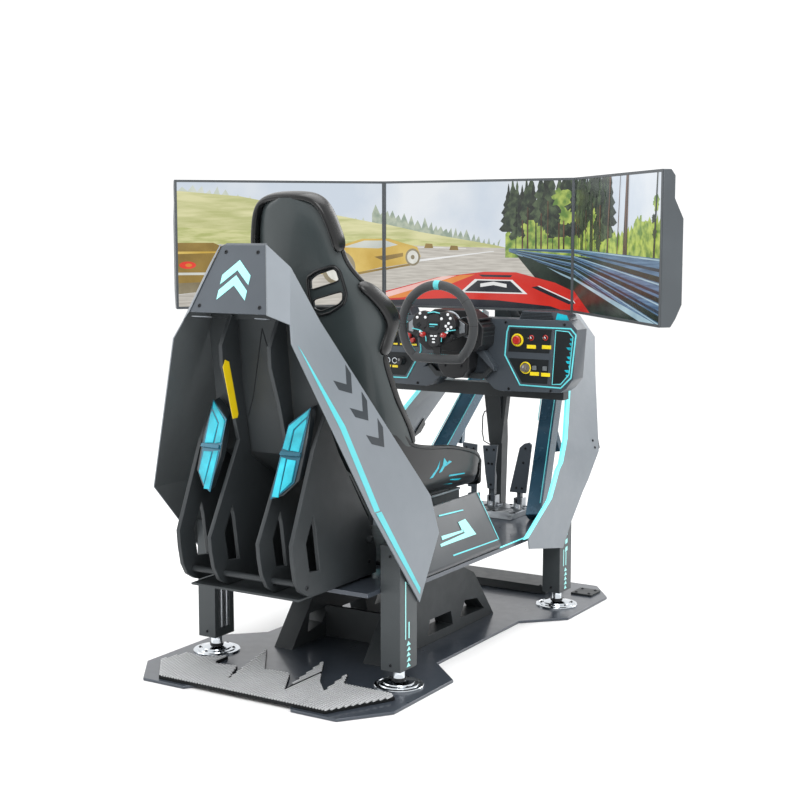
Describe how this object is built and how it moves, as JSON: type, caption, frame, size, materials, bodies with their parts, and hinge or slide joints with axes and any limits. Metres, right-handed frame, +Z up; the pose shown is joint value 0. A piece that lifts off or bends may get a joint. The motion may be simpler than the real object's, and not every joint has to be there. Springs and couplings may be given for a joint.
{
  "type": "sitdown racing cabinet",
  "caption": "Sit-down driving simulator cabinet: reclined bucket seat, wheel, pedals and three angled screens on a tilting platform over a floor plate.",
  "frame": {"origin": "centre of the footprint on the floor", "axes": "+X to the driver's right, +Y forward to the screens, +Z up"},
  "size_m": [1.8108, 1.828, 1.409],
  "materials": {
    "floor_blue": "gloss",
    "tread_black": "ribbed matte",
    "panel_grey": "satin",
    "plate_grey": "satin",
    "frame_dark": "satin",
    "foot_chrome": "polished",
    "bright_steel": "brushed",
    "lamp_cyan": "lit, gloss",
    "shell_black": "gloss",
    "seat_fabric": "woven matte",
    "rim_rubber": "matte grip",
    "plastic_black": "fine texture",
    "button_red": "gloss"
  },
  "bodies": {
    "base": {"base_plate": "floor_blue", "rear_tread": "tread_black", "front_rail": "frame_dark", "pedestal": "frame_dark", "actuator_foot_rear_right": "foot_chrome", "actuator_foot_rear_left": "foot_chrome", "actuator_foot_front_right": "foot_chrome", "actuator_foot_front_left": "foot_chrome"},
    "guide_post": {"guide_post": "bright_steel"},
    "pivot_cross": {"pivot_cross": "bright_steel"},
    "platform": {"deck_pan": "floor_blue", "leg_housing_rear_right": "panel_grey", "leg_housing_rear_left": "panel_grey", "leg_housing_front_right": "panel_grey", "leg_housing_front_left": "panel_grey", "sill_right": "floor_blue", "sill_left": "floor_blue", "wing_panel_right": "panel_grey", "wing_panel_left": "panel_grey", "number_plate": "plate_grey", "outer_fin_right": "frame_dark", "outer_fin_left": "frame_dark", "inner_fin_right": "frame_dark", "inner_fin_left": "frame_dark", "rear_shell": "frame_dark", "tail_lamp_right": "lamp_cyan", "tail_lamp_left": "lamp_cyan", "front_blade_right": "panel_grey", "front_blade_left": "panel_grey", "light_strip_right": "lamp_cyan", "light_strip_left": "lamp_cyan", "front_bar_right": "frame_dark", "front_bar_left": "frame_dark", "dash_panel": "plate_grey", "dash_frame": "frame_dark", "wheel_base": "plastic_black", "pedal_tray": "bright_steel", "seat_stand": "frame_dark", "monitor_centre": "plastic_black", "monitor_right": "plastic_black", "monitor_left": "plastic_black", "monitor_frame": "frame_dark"},
    "seat": {"seat_shell": "shell_black", "seat_cushion": "seat_fabric", "seat_back_pad": "seat_fabric"},
    "wheel": {"wheel_rim": "rim_rubber", "wheel_hub": "plastic_black"},
    "paddle_right": {"shift_paddle_right": "bright_steel"},
    "paddle_left": {"shift_paddle_left": "bright_steel"},
    "hub_knob_right": {"hub_knob_right": "button_red"},
    "hub_knob_left": {"hub_knob_left": "button_red"},
    "throttle": {"throttle_pedal": "bright_steel"},
    "brake": {"brake_pedal": "bright_steel"},
    "clutch": {"clutch_pedal": "bright_steel"},
    "stop_button": {"stop_button": "button_red"},
    "right_dash_knob": {"right_dash_knob": "button_red"},
    "toggle_1": {"toggle_switch_1": "foot_chrome"},
    "toggle_2": {"toggle_switch_2": "foot_chrome"},
    "left_dash_knob": {"left_dash_knob": "plastic_black"},
    "left_dash_button": {"left_dash_button": "button_red"}
  },
  "joints": [
    {"name": "platform_heave", "type": "slide", "parent": "base", "child": "guide_post", "axis": [0, 0, 1], "range_m": [0, 0.06]},
    {"name": "platform_pitch", "type": "hinge", "parent": "guide_post", "child": "pivot_cross", "pos_m": [0, -0.085, 0.246], "axis": [1, 0, 0], "range_deg": [-2, 2]},
    {"name": "platform_roll", "type": "hinge", "parent": "pivot_cross", "child": "platform", "pos_m": [0, -0.085, 0.246], "axis": [0, 1, 0], "range_deg": [-2, 2]},
    {"name": "seat_slide", "type": "slide", "parent": "platform", "child": "seat", "axis": [0, 1, 0], "range_m": [-0.05, 0.05]},
    {"name": "wheel_turn", "type": "hinge", "parent": "platform", "child": "wheel", "pos_m": [0, 0.165, 0.936], "axis": [0, 1, 0], "range_deg": [-450, 450]},
    {"name": "paddle_right_pull", "type": "hinge", "parent": "wheel", "child": "paddle_right", "pos_m": [0.03, 0.199, 0.936], "axis": [0, 0, 1], "range_deg": [-6, 0], "stiffness_Nm_per_rad": 2, "springref_deg": 5.73},
    {"name": "paddle_left_pull", "type": "hinge", "parent": "wheel", "child": "paddle_left", "pos_m": [-0.03, 0.199, 0.936], "axis": [0, 0, 1], "range_deg": [0, 6], "stiffness_Nm_per_rad": 2, "springref_deg": -5.73},
    {"name": "hub_knob_right_turn", "type": "hinge", "parent": "wheel", "child": "hub_knob_right", "pos_m": [0.038, 0.133, 0.91], "axis": [0, 1, 0], "range_deg": [-150, 150]},
    {"name": "hub_knob_left_turn", "type": "hinge", "parent": "wheel", "child": "hub_knob_left", "pos_m": [-0.038, 0.133, 0.91], "axis": [0, 1, 0], "range_deg": [-150, 150]},
    {"name": "throttle_press", "type": "hinge", "parent": "platform", "child": "throttle", "pos_m": [0.132, 0.5, 0.322], "axis": [1, 0, 0], "range_deg": [-8, 0], "stiffness_Nm_per_rad": 20, "springref_deg": 8.59},
    {"name": "brake_press", "type": "hinge", "parent": "platform", "child": "brake", "pos_m": [0.03, 0.5, 0.322], "axis": [1, 0, 0], "range_deg": [-14, 0], "stiffness_Nm_per_rad": 80, "springref_deg": 8.59},
    {"name": "clutch_press", "type": "hinge", "parent": "platform", "child": "clutch", "pos_m": [-0.046, 0.5, 0.322], "axis": [1, 0, 0], "range_deg": [-16, 0], "stiffness_Nm_per_rad": 30, "springref_deg": 8.59},
    {"name": "stop_button_press", "type": "slide", "parent": "platform", "child": "stop_button", "axis": [0, 1, 0], "range_m": [0, 0.005], "stiffness_N_per_m": 600, "springref_m": -0.003},
    {"name": "left_dash_button_press", "type": "slide", "parent": "platform", "child": "left_dash_button", "axis": [0, 1, 0], "range_m": [0, 0.005], "stiffness_N_per_m": 600, "springref_m": -0.003},
    {"name": "right_dash_knob_turn", "type": "hinge", "parent": "platform", "child": "right_dash_knob", "pos_m": [0.235, 0.32, 0.8], "axis": [0, 1, 0], "range_deg": [-150, 150]},
    {"name": "left_dash_knob_turn", "type": "hinge", "parent": "platform", "child": "left_dash_knob", "pos_m": [-0.235, 0.32, 0.8], "axis": [0, 1, 0], "range_deg": [-150, 150]},
    {"name": "toggle_1_flip", "type": "hinge", "parent": "platform", "child": "toggle_1", "pos_m": [0.255, 0.3237, 0.898], "axis": [1, 0, 0], "range_deg": [-20, 20]},
    {"name": "toggle_2_flip", "type": "hinge", "parent": "platform", "child": "toggle_2", "pos_m": [0.305, 0.3237, 0.9], "axis": [1, 0, 0], "range_deg": [-20, 20]}
  ]
}
